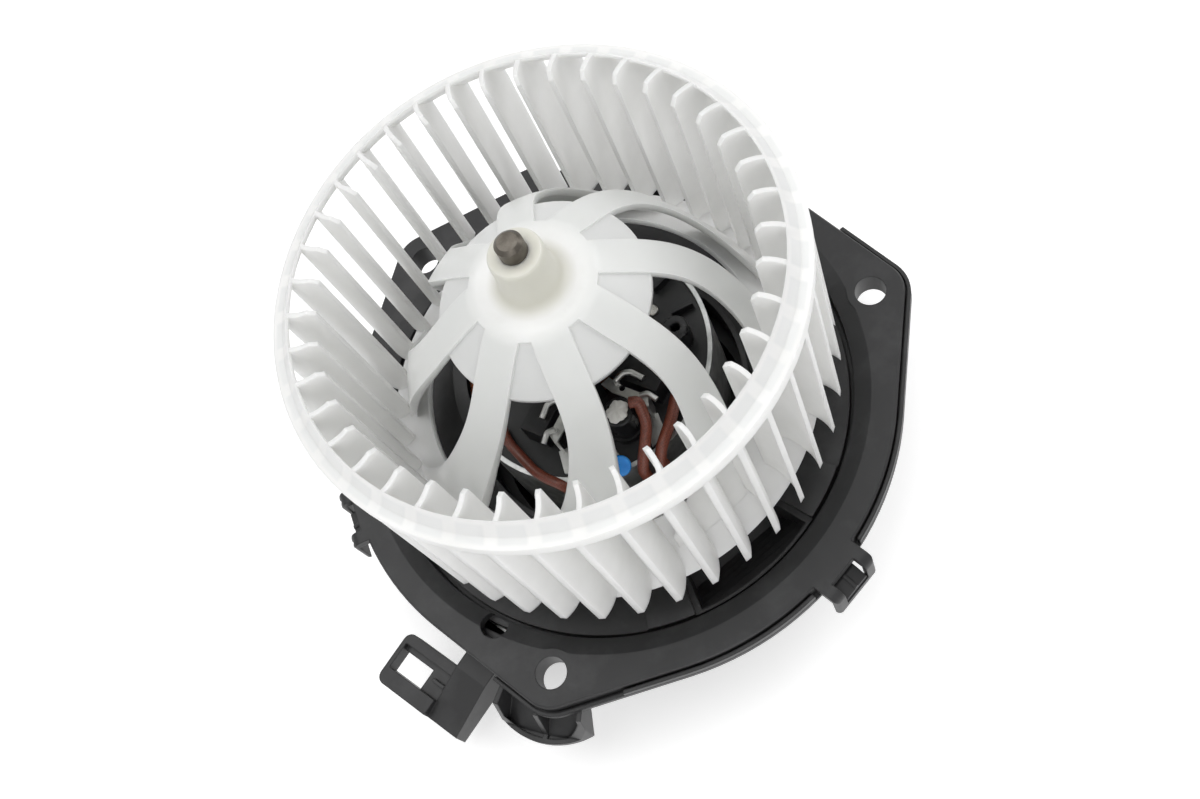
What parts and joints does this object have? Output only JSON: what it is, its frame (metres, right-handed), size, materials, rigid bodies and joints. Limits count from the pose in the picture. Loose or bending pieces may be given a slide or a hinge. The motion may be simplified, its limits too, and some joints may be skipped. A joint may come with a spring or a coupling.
{
  "type": "car cabin blower motor",
  "caption": "Centrifugal blower with a translucent fan wheel on a brushed motor, in a black flanged housing with screw lugs.",
  "frame": {"origin": "centre of the three screw holes, on the motor axis, in the flange's upper face", "axes": "+Z along the shaft towards the wheel; +X lies 12 degrees past the first screw hole; the connector bracket points towards -X and -Y"},
  "size_m": [0.2146, 0.1979, 0.1523],
  "materials": {
    "natural_polypropylene": "translucent white, satin",
    "ground_steel": "ground and bright",
    "lamination_steel": "stacked sheet, dull",
    "enamelled_copper": "varnished wire",
    "commutator_copper": "turned copper",
    "washer_polymer": "self-lubricating polymer",
    "zinc_plated_steel": "bright zinc plate",
    "ferrite": "sintered ceramic magnet, dark grey",
    "card_polymer": "moulded, black",
    "tinned_brass": "dull tin plate",
    "carbon": "pressed carbon",
    "spring_steel": "bare spring steel",
    "sintered_bronze": "oil-filled sintered bronze",
    "capacitor_black": "black case",
    "white_glue": "cured silicone",
    "capacitor_blue": "dipped coating",
    "tinned_wire": "tinned",
    "brown_sleeve": "varnished glass sleeving, brown",
    "red_insulation": "red insulation",
    "brown_insulation": "brown insulation",
    "black_polypropylene": "glass-filled moulding, black",
    "damper_rubber": "soft rubber"
  },
  "bodies": {
    "housing": {"motor_yoke": "zinc_plated_steel", "field_magnets": "ferrite", "brush_card": "card_polymer", "brush_holders": "tinned_brass", "carbon_brushes": "carbon", "brush_springs": "spring_steel", "front_bearing": "sintered_bronze", "rear_bearing": "sintered_bronze", "front_bearing_retainer": "spring_steel", "rear_bearing_retainer": "spring_steel", "thrust_pad": "washer_polymer", "suppression_capacitor": "capacitor_black", "capacitor_glue": "white_glue", "disc_capacitor": "capacitor_blue", "disc_capacitor_legs": "tinned_wire", "choke_winding": "enamelled_copper", "choke_rod": "ferrite", "round_choke": "capacitor_black", "card_rivets": "tinned_wire", "lead_sleeves": "brown_sleeve", "capacitor_lead": "tinned_wire", "supply_lead": "red_insulation", "return_lead": "brown_insulation", "flange_housing": "black_polypropylene", "lower_cover": "black_polypropylene", "damper_pads": "damper_rubber", "motor_terminals": "tinned_brass", "cover_screws": "zinc_plated_steel"},
    "rotor": {"blower_wheel": "natural_polypropylene", "motor_shaft": "ground_steel", "armature_core": "lamination_steel", "armature_windings": "enamelled_copper", "commutator": "commutator_copper", "thrust_washers": "washer_polymer"}
  },
  "joints": [
    {"name": "wheel_spin", "type": "hinge", "parent": "housing", "child": "rotor", "pos_m": [0, 0, 0], "axis": [0, 0, 1], "continuous": true}
  ]
}
